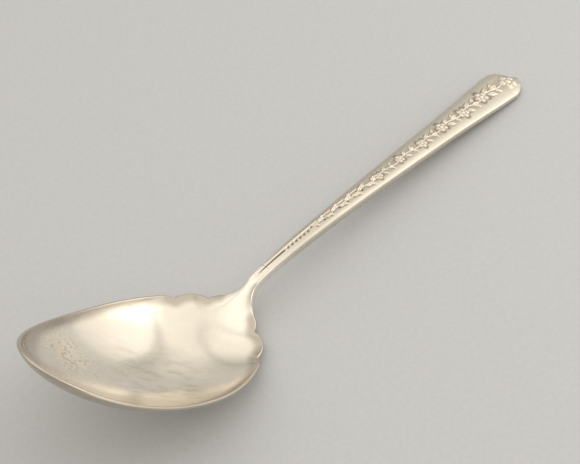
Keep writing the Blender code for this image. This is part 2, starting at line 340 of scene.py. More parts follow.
# Worked out from the sizes above
WIDEST = BOWL_LENGTH - TIP_REACH
HALF_WIDTH = BOWL_WIDTH / 2
BLADE_LENGTH = HANDLE_LENGTH - NECK_PLACE - END_ROUND - NIB_REACH
SHOULDER_STOPS = (0.0, OUTER_NOTCH, INNER_NOTCH, CORNER, 1.0)
SCARF_START = NECK_PLACE + SCARF_PLACE - SCARF_LENGTH / 2
SCARF_END = SCARF_START + SCARF_LENGTH
ALONG_BOWL = np.array((-cos(BOWL_TILT), 0.0, sin(BOWL_TILT)))
ACROSS_BOWL = np.array((0.0, 1.0, 0.0))
ABOVE_BOWL = np.array((sin(BOWL_TILT), 0.0, cos(BOWL_TILT)))
UP_THE_NECK = np.array((cos(NECK_RISE), 0.0, sin(NECK_RISE)))


def direction(azimuth, elevation):
    """Unit vector towards an azimuth and elevation in degrees."""
    flat = cos(radians(elevation))
    return Vector((flat * cos(radians(azimuth)), flat * sin(radians(azimuth)), sin(radians(elevation))))


def bezier(start, leave, arrive, end, share):
    """Point of a cubic curve at each share of its length."""
    t = np.asarray(share)[..., None]
    ends = (1 - t) ** 3 * start + t ** 3 * end
    return ends + 3 * (1 - t) ** 2 * t * leave + 3 * (1 - t) * t ** 2 * arrive


def smooth(share):
    """Ease from 0 to 1."""
    t = np.clip(share, 0.0, 1.0)
    return t * t * (3 - 2 * t)


def crowded(even, crowding):
    """Even steps of up to 1, drawn together towards 1, or towards 0 where the crowding is negative."""
    return even * (1 + crowding - crowding * even ** 2)


BOWL_COLUMNS = crowded(np.linspace(-1, 1, BOWL_COLUMN_COUNT), RIM_CROWDING)
HANDLE_COLUMNS = crowded(np.linspace(-1, 1, HANDLE_COLUMN_COUNT), MIDDLE_CROWDING)


def in_bowl(along, across, above):
    """Point given along, across and above the bowl's axis, measured from the shoulder."""
    along, across, above = (np.asarray(value)[..., None] for value in (along, across, above))
    return along * ALONG_BOWL + across * ACROSS_BOWL + above * ABOVE_BOWL


def rim_above(along):
    """Height of the rim's edge over the bowl's axis."""
    return -RIM_SAG * (1 - ((along - RIM_SAG_PLACE) / (BOWL_LENGTH - RIM_SAG_PLACE)) ** 2)


def half_disc(forward, side):
    """Square sheet drawn round into half a disc, so that its first row lies on the rim."""
    return forward * np.sqrt(1 - side ** 2 / 2), side * np.sqrt(1 - forward ** 2 / 2)


NECK_TOP = np.array((NECK_PLACE, 0.0, NECK_HEIGHT))
NECK_EDGE = NECK_TOP + np.array((0.0, NECK_WIDTH / 2, -CROWN))
FLOOR_START = in_bowl(WIDEST, 0.0, -BOWL_DEPTH)
FLOOR = bezier(FLOOR_START, FLOOR_START - FLOOR_REACH * ALONG_BOWL,
               NECK_TOP - FLOOR_NECK_REACH * UP_THE_NECK, NECK_TOP, CURVE_POINTS)
FLOOR_RUN = np.append(0.0, np.cumsum(np.linalg.norm(np.diff(FLOOR, axis=0), axis=1)))
TABLE = FLOOR[:, 2].min() - WALL + FOOT_WEAR


def heel_edge(along):
    """Egg-shaped rim behind the widest place."""
    across = HALF_WIDTH * np.sqrt(1 - ((WIDEST - along) / HEEL_REACH) ** 2)
    return in_bowl(along, across, rim_above(along))


def shoulder_edge(share):
    """Rim from the egg shape to the neck, without its scallops."""
    start = heel_edge(SHOULDER_PLACE)
    heading = start - heel_edge(SHOULDER_PLACE + SMALL_STEP)
    heading = heading / np.linalg.norm(heading)
    return bezier(start, start + SHOULDER_REACH * heading, NECK_EDGE - NECK_REACH * UP_THE_NECK,
                  NECK_EDGE, share)


def scallop(share):
    """Distance that the scallops stand out from the plain shoulder."""
    if share < OUTER_NOTCH:
        return -OUTER_NOTCH_DEPTH * (1 - cos(pi / 2 * share / OUTER_NOTCH))
    if share < INNER_NOTCH:
        part = (share - OUTER_NOTCH) / (INNER_NOTCH - OUTER_NOTCH)
        base = OUTER_NOTCH_DEPTH + (INNER_NOTCH_DEPTH - OUTER_NOTCH_DEPTH) * part
        return SCALLOP_RISE * sin(pi * part) - base
    if share < CORNER:
        part = (share - INNER_NOTCH) / (CORNER - INNER_NOTCH)
        return CORNER_RISE * sin(pi / 2 * part) - INNER_NOTCH_DEPTH
    fade = (1 - share) / (1 - CORNER)
    return (CORNER_RISE - INNER_NOTCH_DEPTH) * fade ** 2


SHOULDER_SHARES = np.concatenate([np.linspace(first, last, count, endpoint=False) for count, first, last
                                  in zip(SHOULDER_ROWS, SHOULDER_STOPS, SHOULDER_STOPS[1:])])
SPINE_END = np.array((HANDLE_LENGTH, 0.0, TABLE + END_THICKNESS - FOOT_WEAR))
SPINE = bezier(NECK_TOP, NECK_TOP + STEM_REACH * UP_THE_NECK,
               SPINE_END + np.array((-BLADE_PLACE, 0.0, BLADE_LIFT)), SPINE_END, CURVE_POINTS)


def spine(place):
    """Height of the handle's middle line at a distance behind the shoulder."""
    return np.interp(place, SPINE[:, 0], SPINE[:, 2])


def stem_thickness(place):
    """Thickness of the handle along its middle line."""
    share = (place - NECK_PLACE) / (HANDLE_LENGTH - NECK_PLACE)
    return STEM_THICKNESS + (END_THICKNESS - STEM_THICKNESS) * share


def bowl_wall(reach):
    """Thickness of the bowl, thinner towards the rim."""
    return WALL + (RIM_WALL - WALL) * np.clip(reach, 0, 1) ** RIM_WALL_POWER


def inset(columns, half, edge=EDGE):
    """Columns drawn in from a row's edges by the rounding."""
    return columns * (1 - edge / half)


def dished(reach, lip=LIP_SHARE, power=DISH_POWER):
    """Rise of the bowl from its floor to its rim, as shares of both, a little steeper in the lip."""
    return (reach ** power + lip * reach ** LIP_POWER) / (1 + lip)


def straight_row(middle, edge, columns, lip=0.0, power=DISH_POWER):
    """Row from edge to edge: level at the middle line and turning up, or down, to the edges."""
    row = middle + (edge - middle) * dished(np.abs(columns), lip, power)[:, None]
    row[:, 1] = edge[1] * columns
    return row


def tip_rows(columns):
    """Front half of the bowl, from the rim round the tip to the widest place."""
    rows = []
    for even in np.linspace(1, 0, TIP_ROWS, endpoint=False):
        ahead, side = half_disc(crowded(even, RIM_CROWDING), columns)
        ahead = ahead * (1 - EDGE / TIP_REACH)
        side = inset(side, HALF_WIDTH)
        reach = np.hypot(ahead, side)
        along = WIDEST + TIP_REACH * ahead
        rim = rim_above(WIDEST + TIP_REACH * ahead / reach)
        above = (rim + BOWL_DEPTH) * dished(reach) - BOWL_DEPTH
        rows.append((in_bowl(along, HALF_WIDTH * side, above), bowl_wall(reach), 0.0, EDGE))
    return rows


def floor_run_beside(edge):
    """Distance along the floor's middle line to the point square across the bowl from a rim point."""
    return np.interp(-(edge @ ALONG_BOWL), -(FLOOR @ ALONG_BOWL), FLOOR_RUN)


def floor_at(run):
    """Point of the floor's middle line at a distance along it."""
    return np.array([np.interp(run, FLOOR_RUN, FLOOR[:, axis]) for axis in range(3)])


def shoulder_floor(share):
    """Point of the floor's middle line that goes with a share of the shoulder's edge."""
    start = floor_run_beside(shoulder_edge(0.0))
    length = FLOOR_RUN[-1] - start
    leave = (shoulder_edge(SMALL_SHARE) - shoulder_edge(0.0)) @ -ALONG_BOWL / SMALL_SHARE
    arrive = (shoulder_edge(1.0) - shoulder_edge(1.0 - SMALL_SHARE)) @ UP_THE_NECK / SMALL_SHARE
    stay = 1 - share
    run = share ** 2 * (3 - 2 * share) * length + share * stay ** 2 * leave - share ** 2 * stay * arrive
    return floor_at(start + run)


def heel_rows(columns):
    """Back half of the bowl, as far as the scallops."""
    rows = []
    for along in np.linspace(WIDEST, SHOULDER_PLACE, HEEL_ROWS, endpoint=False):
        edge = heel_edge(along)
        drawn = inset(columns, edge[1])
        row = straight_row(floor_at(floor_run_beside(edge)), edge, drawn, LIP_SHARE)
        rows.append((row, bowl_wall(np.abs(drawn)), 0.0, EDGE))
    return rows


def shoulder_rows(columns):
    """Shoulders without their scallops: the sheet narrows and thickens into the neck."""
    rows = []
    for share in SHOULDER_SHARES:
        edge = shoulder_edge(share)
        ease = smooth(share)
        rounding = EDGE + (STEM_EDGE - EDGE) * ease
        drawn = inset(columns, edge[1], rounding)
        power = DISH_POWER + (CROWN_POWER - DISH_POWER) * ease
        stem = STEM_THICKNESS - CROWN * np.abs(drawn) ** power
        metal = bowl_wall(np.abs(drawn)) * (1 - ease) + stem * ease
        lip = LIP_SHARE * (1 - smooth(share / CORNER))
        row = straight_row(shoulder_floor(share), edge, drawn, lip, power)
        rows.append((row, metal, ease, rounding))
    return rows


def blade_width(place):
    """Width of the stem and the blade, which flares towards its end."""
    share = np.clip((place - NECK_PLACE) / BLADE_LENGTH, 0, 1)
    flare = BLADE_FLARE * smooth((place - FLARE_PLACE) / (NECK_PLACE + BLADE_LENGTH - FLARE_PLACE))
    return NECK_WIDTH + (BLADE_WIDTH - NECK_WIDTH) * share ** BLADE_SPREAD + flare


def blade_row(place, columns):
    """Row across the stem or the blade, which is more domed where it is wider."""
    half = blade_width(place) / 2
    middle = np.array((place, 0.0, spine(place)))
    crown = CROWN + (END_CROWN - CROWN) * np.clip((place - NECK_PLACE) / BLADE_LENGTH, 0, 1)
    edge = middle + np.array((0.0, half, -crown))
    finer = smooth((place - STEM_EDGE_END) / (NECK_PLACE + BLADE_LENGTH - STEM_EDGE_END))
    rounding = STEM_EDGE + (EDGE - STEM_EDGE) * finer
    drawn = inset(columns, half, rounding)
    metal = stem_thickness(place) - crown * np.abs(drawn) ** CROWN_POWER
    return straight_row(middle, edge, drawn, power=CROWN_POWER), metal, 1.0, rounding


def end_rows(columns):
    """End of the handle: a full curve with a small nib and a cleft beside it, its last row on the outline."""
    rows = []
    half = blade_width(HANDLE_LENGTH) / 2
    for forward in np.linspace(0, 1, END_ROWS):
        ahead, side = half_disc(forward, columns)
        reach = np.maximum(np.hypot(ahead, side), SMALL_SHARE)
        bulk = np.abs(ahead / reach) ** END_POWER + np.abs(side / reach) ** END_POWER
        fuller = np.maximum(bulk, SMALL_SHARE) ** (-1 / END_POWER)
        ahead = ahead * fuller * (1 - EDGE / END_ROUND)
        side = inset(side * fuller, half)
        across = half * side
        front = smooth(ahead) ** 2
        nib = NIB_REACH * np.exp(-((across - NIB_SIDE) / NIB_WIDTH) ** 2)
        cleft = CLEFT_DEPTH * np.exp(-((across - CLEFT_SIDE) / CLEFT_WIDTH) ** 2)
        skew = END_SKEW * np.sin(pi * np.clip(across / half, -1, 1))
        place = NECK_PLACE + BLADE_LENGTH + END_ROUND * ahead + front * (nib - cleft - skew)
        drop = END_CROWN * reach ** CROWN_POWER
        row = np.stack((place, across, spine(place) - drop), axis=-1)
        rows.append((row, stem_thickness(place) - drop, 1.0, EDGE))
    return rows


END_PLACE = max(row[0][:, 0].max() for row in end_rows(HANDLE_COLUMNS)) + EDGE
TO_PART = np.array((cad_high[0] - END_PLACE, 0.0, -TABLE))


def grid_normals(points):
    """Upward normal at each point of a sheet."""
    face = np.cross(points[1:, 1:] - points[:-1, :-1], points[:-1, 1:] - points[1:, :-1])
    normals = np.zeros_like(points)
    normals[1:, 1:] += face
    normals[:-1, :-1] += face
    normals[1:, :-1] += face
    normals[:-1, 1:] += face
    normals *= np.sign(normals[..., 2].mean())
    return normals / np.linalg.norm(normals, axis=-1, keepdims=True)


def border(points, inner, normals):
    """Direction out of a sheet along one of its borders, away from the next line of points."""
    out = np.cross(np.gradient(points, axis=0), normals)
    out *= np.sign(np.sum(out * (points - inner)))
    return out / np.linalg.norm(out, axis=-1, keepdims=True)


def rounded(upper, lower, out, out_below, first, last, edge):
    """Rounded edge of each point of a border, between two shares of the metal's thickness."""
    turn = (1 - np.cos(pi * np.linspace(0, 1, ARC_STEPS + 1))) / 2
    share = (first[:, None] + (last - first)[:, None] * turn)[..., None]
    bulge = 2 * np.sqrt(share * (1 - share)) * edge[:, None, None]
    turning = out[:, None] * (1 - share) + out_below[:, None] * share
    return upper[:, None] + (lower - upper)[:, None] * share + bulge * turning


def lofted(sheets, first, last, rim_start=False, rim_end=False):
    """Closed skin between two shares of the metal's thickness in each row: points and faces."""
    upper, lower, normals, through, edges = sheets
    rows, count = upper.shape[:2]
    arcs = []
    for side, inner in ((-1, -2), (0, 1)):
        out = border(upper[:, side], upper[:, inner], normals[:, side])
        out_below = border(upper[:, side], upper[:, inner], through[:, side])
        arcs.append(rounded(upper[:, side], lower[:, side], out, out_below, first, last, edges))
    right, left = arcs
    top = upper + (lower - upper) * first[:, None, None]
    bottom = upper + (lower - upper) * last[:, None, None]
    loops = np.concatenate((left[:, :1], top[:, 1:-1], right, bottom[:, -2:0:-1], left[:, :0:-1]), axis=1)
    size = loops.shape[1]
    index = np.arange(rows * size).reshape(rows, size)
    after = np.roll(index, -1, axis=1)
    faces = np.stack((index[:-1], index[1:], after[1:], after[:-1]), axis=-1).reshape(-1, 4).tolist()
    points = [loops.reshape(-1, 3)]
    made = rows * size
    for row, inner, is_rim in ((0, 1, rim_start), (rows - 1, rows - 2, rim_end)):
        line = index[row]
        upper_line = line[:count]
        lower_line = line[count + ARC_STEPS - 1:2 * count + ARC_STEPS - 1][::-1]
        right_arc = line[count - 1:count + ARC_STEPS]
        left_arc = np.concatenate((line[:1], line[:-ARC_STEPS - 1:-1]))
        if is_rim:
            out = border(upper[row], upper[inner], normals[row])
            out_below = border(upper[row], upper[inner], through[row])
            whole = np.ones(count)
            edge = rounded(upper[row], lower[row], out, out_below, first[row] * whole, last[row] * whole,
                           edges[row] * whole)
            middle = edge[1:-1, 1:-1]
            points.append(middle.reshape(-1, 3))
            grid = np.empty((count, ARC_STEPS + 1), int)
            grid[:, 0] = upper_line
            grid[:, -1] = lower_line
            grid[0] = left_arc
            grid[-1] = right_arc
            grid[1:-1, 1:-1] = made + np.arange(middle.shape[0] * middle.shape[1]).reshape(middle.shape[:2])
            made += middle.shape[0] * middle.shape[1]
        else:
            grid = np.stack((upper_line, lower_line), axis=1)
            sides = (left_arc[::-1], right_arc)
            faces += [list(side[::-1] if row == 0 else side) for side in sides]
        quads = np.stack((grid[:-1, :-1], grid[:-1, 1:], grid[1:, 1:], grid[1:, :-1]), axis=-1).reshape(-1, 4)
        faces += (quads[:, ::-1] if row == 0 else quads).tolist()
    return np.concatenate(points), faces


def painted_rim_shade(points, rim):
    """1 in the dull band of painted shade (the darker reflection by the rim) that runs along the rim and
    widens at the tip, easing to 0 farther in.
    """
    tree = KDTree(len(rim))
    for number, point in enumerate(rim):
        tree.insert(point, number)
    tree.balance()
    away = np.array([tree.find(point)[2] for point in points])
    start, full, wider = TIP_SHADE_WIDENING
    widening = smooth((points[:, 0] + TO_PART[0] - start) / (full - start))
    return smooth((RIM_BAND - away / (1 + (wider - 1) * widening)) / RIM_EASE)


def skin_object(name, points, faces, material, node, rim=None):
    """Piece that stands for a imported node, smooth all over."""
    mesh = bpy.data.meshes.new(name)
    mesh.from_pydata(points + TO_PART, [], faces)
    mesh.materials.append(material)
    mesh.shade_smooth()
    mesh.set_sharp_from_angle(angle=SHARP)
    place, side = points[:, 0], points[:, 1]
    facing = np.array([normal.vector[2] for normal in mesh.vertex_normals])
    for label, values in zip(("recess", "relief"), ornament(place, side)[1:]):
        shade = np.where(facing > 0, values, 0.0).astype(np.float32)
        mesh.attributes.new(label, "FLOAT", "POINT").data.foreach_set("value", shade)
    # Mask of the band of painted shade along the rim
    rim_shade = painted_rim_shade(points, rim) if rim is not None else np.zeros(len(points))
    mesh.attributes.new("rim", "FLOAT", "POINT").data.foreach_set("value", rim_shade.astype(np.float32))
    piece = bpy.data.objects.new(name, mesh)
    bpy.context.scene.collection.objects.link(piece)
    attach(piece, "root")
    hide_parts(node)
    return piece


def add(tree, kind, inputs=None, **settings):
    """Node with its settings, and with values or links on its inputs."""
    node = tree.nodes.new(kind)
    for name, value in settings.items():
        setattr(node, name, value)
    for key, value in (inputs or {}).items():
        if isinstance(value, bpy.types.NodeSocket):
            tree.links.new(value, node.inputs[key])
        else:
            node.inputs[key].default_value = value
    return node


def noise(tree, vector, scale, detail=2.0):
    """Plain noise read along a vector."""
    inputs = {"Vector": vector, "Scale": scale, "Detail": detail}
    return add(tree, "ShaderNodeTexNoise", inputs).outputs["Fac"]


def ramp(tree, value, low, high, to_low=0.0, to_high=1.0):
    """Value brought from one range into another, and kept inside it."""
    inputs = {"Value": value, "From Min": low, "From Max": high, "To Min": to_low, "To Max": to_high}
    return add(tree, "ShaderNodeMapRange", inputs).outputs["Result"]


def sums(tree, operation, first, second):
    """Sum, product or other result of two values."""
    return add(tree, "ShaderNodeMath", {0: first, 1: second}, operation=operation).outputs["Value"]


def scaled(tree, value, share):
    """Share of a value."""
    return sums(tree, "MULTIPLY", value, share)


def mixed(tree, share, first, second):
    """One colour turning into another."""
    node = add(tree, "ShaderNodeMix", {"Factor": share}, data_type="RGBA")
    for socket, colour in ((node.inputs[6], first), (node.inputs[7], second)):
        if isinstance(colour, bpy.types.NodeSocket):
            tree.links.new(colour, socket)
        else:
            socket.default_value = (*colour, 1.0)
    return node.outputs[2]


def attribute(tree, label):
    """Value that the mesh has at each of its points."""
    return add(tree, "ShaderNodeAttribute", attribute_name=label).outputs["Fac"]


def axis_of(tree, vector, axis):
    """One axis of a vector."""
    return add(tree, "ShaderNodeSeparateXYZ", {"Vector": vector}).outputs[axis]


def distance(tree, first, second):
    """Distance between two points."""
    return add(tree, "ShaderNodeVectorMath", {0: first, 1: second}, operation="DISTANCE").outputs["Value"]


def drawn_out(tree, vector, turn, across, along):
    """Vector for a pattern drawn out in one direction: features a metre across it and along it."""
    inputs = {"Vector": vector, "Rotation": (0.0, 0.0, turn), "Scale": (1 / along, 1 / across, 1 / along)}
    return add(tree, "ShaderNodeMapping", inputs, vector_type="TEXTURE").outputs["Vector"]


def scratches(tree, vector, turn, across, along, cut):
    """Fine lines in one direction: noise drawn out along it, of which only the peaks are kept."""
    lines = noise(tree, drawn_out(tree, vector, turn, across, along), 1.0, 1.0)
    return ramp(tree, lines, cut, cut + SCRATCH_EASE)


def worn_bowl(tree, at, colour, rough, height):
    """Colour, roughness and bump of the bowl's plate, with its streaky stain and its freckled patch."""
    facing = add(tree, "ShaderNodeNewGeometry").outputs["Normal"]
    inside = ramp(tree, axis_of(tree, facing, "Z"), *UPWARD)
    streaks = noise(tree, drawn_out(tree, at, STAIN_TURN, STAIN_ACROSS, STAIN_ALONG), 1.0, STAIN_DETAIL)
    stain = scaled(tree, inside, ramp(tree, distance(tree, at, STAIN_PLACE), *STAIN_REACH))
    stain = scaled(tree, stain, ramp(tree, streaks, *STAIN_RANGE))
    colour = mixed(tree, scaled(tree, stain, STAIN_TINT), colour, STAIN)
    rough = sums(tree, "ADD", rough, scaled(tree, stain, STAIN_ROUGH))
    edge = scaled(tree, noise(tree, at, WORN_EDGE_SCALE, WORN_EDGE_DETAIL), WORN_EDGE)
    ragged = sums(tree, "ADD", distance(tree, at, WORN_PLACE), edge)
    patch = scaled(tree, inside, ramp(tree, ragged, *WORN_REACH))
    cells = add(tree, "ShaderNodeTexVoronoi", {"Vector": at, "Scale": FRECKLE_SCALE}).outputs["Distance"]
    groups = ramp(tree, noise(tree, at, FRECKLE_GROUP_SCALE), *FRECKLE_GROUPS)
    freckles = scaled(tree, scaled(tree, ramp(tree, cells, *FRECKLE_SIZE), groups), patch)
    colour = mixed(tree, scaled(tree, patch, WORN_TINT), colour, WORN)
    colour = mixed(tree, scaled(tree, freckles, FRECKLE_TINT), colour, TARNISH_AND_SHADE)
    rough = sums(tree, "ADD", rough, scaled(tree, patch, WORN_ROUGH))
    return colour, rough, sums(tree, "SUBTRACT", height, freckles)


def new_material(name):
    """Material, its nodes, its shader, and the place on the object that its patterns are read at."""
    material = bpy.data.materials.new(name)
    material.use_nodes = True
    tree = material.node_tree
    return material, tree, tree.nodes["Principled BSDF"], add(tree, "ShaderNodeTexCoord").outputs["Object"]


def silver(name, worn):
    """Old silver plate: bright in the bowl, duller and darker up the neck (partly painted shade), cloudy,
    scratched, dark in recesses (tarnish and painted shade), lighter on the ornament's crowns (rubbed plate
    and a painted highlight), with a dull band of painted shade along the rim.
    """
    material, tree, shader, at = new_material(name)
    clouds = noise(tree, at, CLOUD_SCALE, CLOUD_DETAIL)
    haze = ramp(tree, noise(tree, at, HAZE_SCALE, HAZE_DETAIL), *HAZE_RANGE)
    lines = 0.0
    for scratch in SCRATCHES:
        lines = sums(tree, "MAXIMUM", lines, scratches(tree, at, *scratch))
    # Towards the handle the metal turns duller and darker: a duller plate, and painted shade
    handle = ramp(tree, axis_of(tree, at, "X"), *(float(TO_PART[0] + place) for place in DULLING_AND_SHADE))
    cloudy = ramp(tree, clouds, *CLOUD_RANGE)
    colour = mixed(tree, handle, mixed(tree, cloudy, *BOWL_TONES), mixed(tree, cloudy, *HANDLE_SHADED_TONES))
    colour = mixed(tree, scaled(tree, lines, SCRATCH_TINT), colour, SCRATCH)
    bowl_rough = ramp(tree, haze, 0.0, 1.0, *BOWL_POLISH)
    handle_rough = ramp(tree, haze, 0.0, 1.0, *HANDLE_POLISH)
    duller = scaled(tree, handle, sums(tree, "SUBTRACT", handle_rough, bowl_rough))
    rough = sums(tree, "ADD", bowl_rough, duller)
    rough = sums(tree, "ADD", rough, ramp(tree, clouds, *CLOUD_ROUGH_RANGE, 0.0, CLOUD_ROUGH))
    rough = sums(tree, "ADD", rough, scaled(tree, lines, SCRATCH_ROUGH))
    height = scaled(tree, lines, -SCRATCH_DEPTH)
    if worn:
        colour, rough, height = worn_bowl(tree, at, colour, rough, height)
    rim, relief, recess = (attribute(tree, label) for label in ("rim", "relief", "recess"))
    # Band along the rim: painted shade for the darker reflection there, and a little rougher
    colour = mixed(tree, scaled(tree, rim, RIM_SHADE_TINT), colour, RIM_SHADE_COLOUR)
    rough = sums(tree, "ADD", rough, scaled(tree, rim, RIM_ROUGH))
    # Ornament: crowns lighter, rubbed plate and a painted highlight; recesses darker, tarnish and painted
    # shade
    colour = mixed(tree, scaled(tree, relief, RUBBED_AND_HIGHLIGHT_TINT), colour, RUBBED_AND_HIGHLIGHT)
    colour = mixed(tree, recess, colour, TARNISH_AND_SHADE)
    rough = sums(tree, "ADD", rough, scaled(tree, recess, TARNISH_ROUGH))
    rough = sums(tree, "SUBTRACT", rough, scaled(tree, relief, BRIGHT_POLISH))
    bump = {"Height": height, "Strength": BUMP_STRENGTH, "Distance": BUMP_DISTANCE}
    tree.links.new(colour, shader.inputs["Base Color"])
    tree.links.new(rough, shader.inputs["Roughness"])
    tree.links.new(add(tree, "ShaderNodeBump", bump).outputs["Normal"], shader.inputs["Normal"])
    shader.inputs["Metallic"].default_value = 1.0
    return material


def paper(name):
    """Pale matt paper with a faint grain."""
    material, tree, shader, at = new_material(name)
    grain = noise(tree, at, GRAIN_SCALE, GRAIN_DETAIL)
    colour = mixed(tree, ramp(tree, grain, *GRAIN_RANGE), PAPER, PAPER_SHADE)
    bump = {"Height": grain, "Strength": GRAIN_STRENGTH, "Distance": GRAIN_DISTANCE}
    tree.links.new(colour, shader.inputs["Base Color"])
    tree.links.new(add(tree, "ShaderNodeBump", bump).outputs["Normal"], shader.inputs["Normal"])
    shader.inputs["Roughness"].default_value = PAPER_ROUGH
    return material


def scarf_share(upper):
    """How far down the metal the scarf lies in each row, from 0 at its front to 1 at its back."""
    return (upper[:, upper.shape[1] // 2, 0] - SCARF_START) / SCARF_LENGTH


def scalloped(upper, columns, start):
    """Sheet whose edges are trimmed, or drawn out, into the scallops, with a crease at each notch."""
    normals = grid_normals(upper)
    here = slice(start, start + len(SHOULDER_SHARES))
    rise = np.zeros(len(upper))
    rise[here] = [scallop(share) for share in SHOULDER_SHARES]
    crease = np.zeros(len(upper))
    for notch in (OUTER_NOTCH, INNER_NOTCH):
        crease[here] += CREASE_DEPTH * np.exp(-((SHOULDER_SHARES - notch) / CREASE_SHARE) ** 2)
    right = border(upper[:, -1], upper[:, -2], normals[:, -1])
    left = border(upper[:, 0], upper[:, 1], normals[:, 0])
    out = np.where(columns[:, None] > 0, right[:, None], left[:, None])
    out = out - SCALLOP_LEVEL * (out @ ABOVE_BOWL)[..., None] * ABOVE_BOWL
    reach = np.abs(columns)[:, None]
    sunk = crease[:, None, None] * reach ** CREASE_FADE * normals
    return upper + rise[:, None, None] * reach ** SCALLOP_FADE * out - sunk


def turned(place, side, at, across, turn):
    """Distances along and across a motif that is turned about its own start."""
    ahead, aside = place - at, side - across
    return ahead * cos(turn) + aside * sin(turn), aside * cos(turn) - ahead * sin(turn)


def dome(across):
    """Round section: 1 in the middle, 0 at the edges and beyond them."""
    return np.clip(1 - across ** 2, 0, 1) ** 0.5


def leaf(place, side, at, across, length, turn, growth):
    """Pointed leaf with a vein along its middle: 1 on its crown, 0 outside it."""
    ahead, aside = turned(place, side, at, across, turn)
    aside = aside / growth
    half = LEAF_WIDTH * length * np.sin(pi * np.clip(ahead / length, 0, 1) ** LEAF_POINT)
    body = dome(aside / np.maximum(half, TINY)) * (half > TINY)
    vein_depth, vein_width = LEAF_VEIN
    return body * (1 - vein_depth * np.exp(-(aside / (vein_width * LEAF_WIDTH * length)) ** 2))


def blossom(place, side, at, across, radius, turn):
    """Open flower: petals round a small eye."""
    ahead, aside = turned(place, side, at, across, turn)
    far = np.hypot(ahead, aside) / radius
    lobe = np.abs(np.cos(np.arctan2(aside, ahead) * PETALS / 2))
    edge = PETAL_NOTCH + (1 - PETAL_NOTCH) * lobe ** PETAL_ROUND
    petal = dome(far / edge) * (PETAL_CLEFT + (1 - PETAL_CLEFT) * smooth(lobe * PETAL_SLOPE))
    ring_depth, ring_radius, ring_width = EYE_RING
    ring = 1 - ring_depth * np.exp(-((far - ring_radius) / ring_width) ** 2)
    return np.maximum(petal * ring, dome(far / EYE))


def vine_half(place):
    """Half the ornament's width at a place on the handle."""
    return np.interp(place, VINE_PLACES, VINE_HALF)


def motifs(place, side, growth=1.0):
    """Leaves and flowers along the handle: 1 on their crowns, 0 between them."""
    shapes = []
    for index, at in enumerate(np.arange(*SPRIG, SPRIG_PITCH)):
        length = SPRIG_LEAF * vine_half(at)
        turn = SPRIG_TURN if index % 2 else -SPRIG_TURN
        shapes.append(leaf(place, side, at, 0.0, length, turn, growth))
        shapes.append(leaf(place, side, at + SPRIG_PITCH / 2, 0.0, length, SPRIG_BACK_TURN * turn, growth))
    for index, at in enumerate(np.arange(*VINE, VINE_PITCH)):
        size = vine_half(at)
        hand = 1 if index % 2 else -1
        shapes.append(blossom(place, side, at, FLOWER_SIDE * hand * size, growth * FLOWER_SIZE * size,
                              hand * FLOWER_TURN))
        for leaf_place, leaf_side, leaf_turn, leaf_size in VINE_LEAVES:
            shapes.append(leaf(place, side, at + leaf_place * VINE_PITCH, hand * leaf_side * size,
                               leaf_size * size, hand * leaf_turn, growth))
    shapes.append(blossom(place, side, *END_FLOWER, END_FLOWER_RADIUS, END_FLOWER_TURN))
    line = VINE_SWAY * np.sin(2 * pi * (place - VINE[0]) / VINE_PITCH) * vine_half(place)
    lasts = (place > SPRIG[0]) * (place < END_FLOWER[0])
    shapes.append(VINE_LINE_HEIGHT * lasts * dome((side - line) / (growth * VINE_LINE)))
    return np.max(shapes, axis=0)


def groove_cut(place, side):
    """Groove behind the neck, which widens from a point: 1 in its bottom, 0 outside it."""
    share = np.clip((place - GROOVE[0]) / (GROOVE[1] - GROOVE[0]), 0, 1)
    half = GROOVE_WIDTH * np.maximum(share ** 0.5, SMALL_SHARE)
    fade_in, fade_out = GROOVE_FADES
    cut = np.clip(1 - np.abs(side) / half, 0, 1)
    return cut * smooth(share * fade_in) * smooth((1 - share) * fade_out)


def punched(place, side):
    """Row of punched dots, smaller and staggered once they reach the leaves: 1 in their bottoms."""
    pits = np.zeros_like(place)
    for index, at in enumerate(np.arange(PITS[0], SPRIG[1], PIT_PITCH)):
        size, across = 1.0, 0.0
        if at > PITS[1]:
            size, across = PIT_SHRINK, PIT_SPREAD * vine_half(at) * (-1) ** index
        ahead, aside = (value / size for value in turned(place, side, at, across, PIT_TURN))
        away = (ahead / PIT_LENGTH) ** PIT_POWER + (aside / PIT_WIDTH) ** PIT_POWER
        pits = np.maximum(pits, np.exp(-away))
    return pits


def ridge_line(place, side):
    """Thin ridge beside the groove and the dots: 1 on its crown."""
    line = np.interp(place, RIDGE, RIDGE_SIDE)
    lasts = smooth((place - RIDGE[0]) / RIDGE_FADE) * smooth((RIDGE[1] - place) / RIDGE_FADE)
    return lasts * np.exp(-((side - line) / RIDGE_WIDTH) ** 2)


